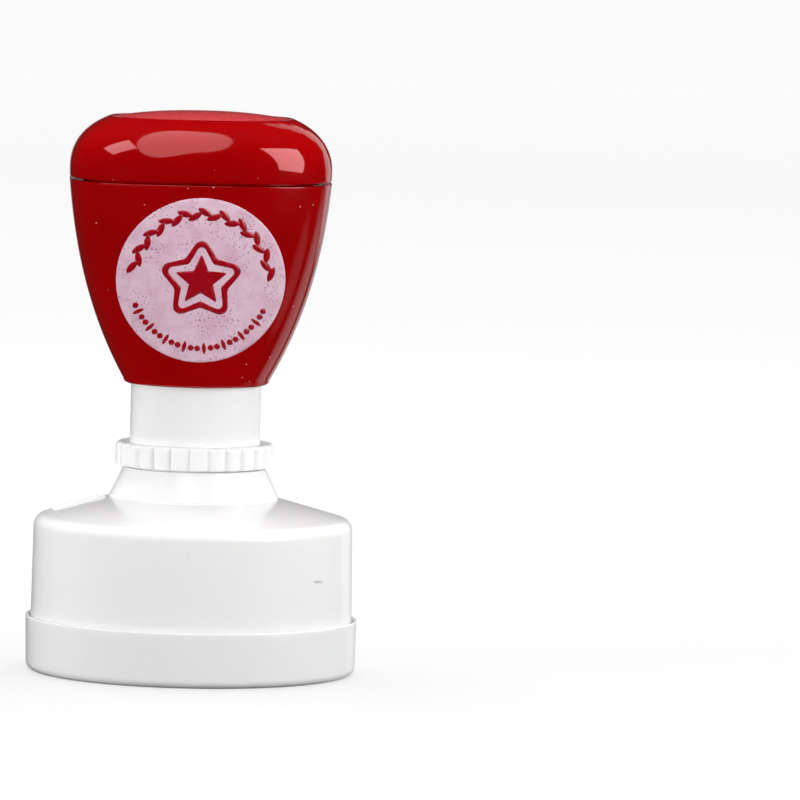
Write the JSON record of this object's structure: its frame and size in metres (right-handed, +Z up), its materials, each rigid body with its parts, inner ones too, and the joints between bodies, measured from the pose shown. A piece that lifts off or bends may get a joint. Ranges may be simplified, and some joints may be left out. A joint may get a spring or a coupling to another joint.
{
  "type": "rubber stamp",
  "caption": "Pre-inked round hand stamp: palm handle with pull-off cap slides on a sprung neck over a bell housing with a turning depth ring, a recessed die and a dust cover.",
  "frame": {"origin": "centre of the dust cover's underside, the face the stamp stands on", "axes": "+Z up the axis of the stamp, towards the handle's cap; the label faces -Y; the handle's width runs along X"},
  "size_m": [0.052, 0.052, 0.0881],
  "materials": {
    "cover_white": "semi-gloss moulded",
    "white_plastic": "gloss moulded",
    "gloss_red": "high gloss moulded",
    "label_print": "printed sticker",
    "clear_plastic": "clear moulded",
    "spring_steel": "bright drawn",
    "ink_felt": "inked felt",
    "die_rubber": "microporous, inked"
  },
  "bodies": {
    "dust_cover": {"dust_cover": "cover_white"},
    "housing": {"outer_housing": "white_plastic"},
    "spring_seat": {"spring_washer": "spring_steel", "return_spring": "spring_steel"},
    "adjuster": {"neck_sleeve": "white_plastic", "adjusting_ring": "white_plastic"},
    "plunger": {"handle_shell": "gloss_red", "front_label": "label_print", "screw_washer": "spring_steel", "handle_screw": "spring_steel", "die_carrier": "white_plastic", "ink_pad": "ink_felt", "stamp_die": "die_rubber", "die_retaining_ring": "white_plastic"},
    "handle_cap": {"handle_cap": "gloss_red", "index_card": "label_print", "index_window": "clear_plastic"}
  },
  "joints": [
    {"name": "cover_pull_off", "type": "slide", "parent": "dust_cover", "child": "housing", "axis": [0, 0, 1], "range_m": [0, 0.025]},
    {"name": "depth_adjust", "type": "slide", "parent": "housing", "child": "spring_seat", "axis": [0, 0, 1], "range_m": [0, 0.0015]},
    {"name": "ring_turn", "type": "hinge", "parent": "spring_seat", "child": "adjuster", "pos_m": [0, 0, 0.034], "axis": [0, 0, 1], "range_deg": [0, 180]},
    {"name": "press", "type": "slide", "parent": "spring_seat", "child": "plunger", "axis": [0, 0, -1], "range_m": [0, 0.009], "stiffness_N_per_m": 500, "springref_m": -0.006, "deforming": ["return_spring"]},
    {"name": "cap_pull_off", "type": "slide", "parent": "plunger", "child": "handle_cap", "axis": [0, 0, 1], "range_m": [0, 0.012]}
  ],
  "couplings": [
    {"joint": "depth_adjust", "follows": "ring_turn", "m_per_rad": 0.00047746}
  ]
}
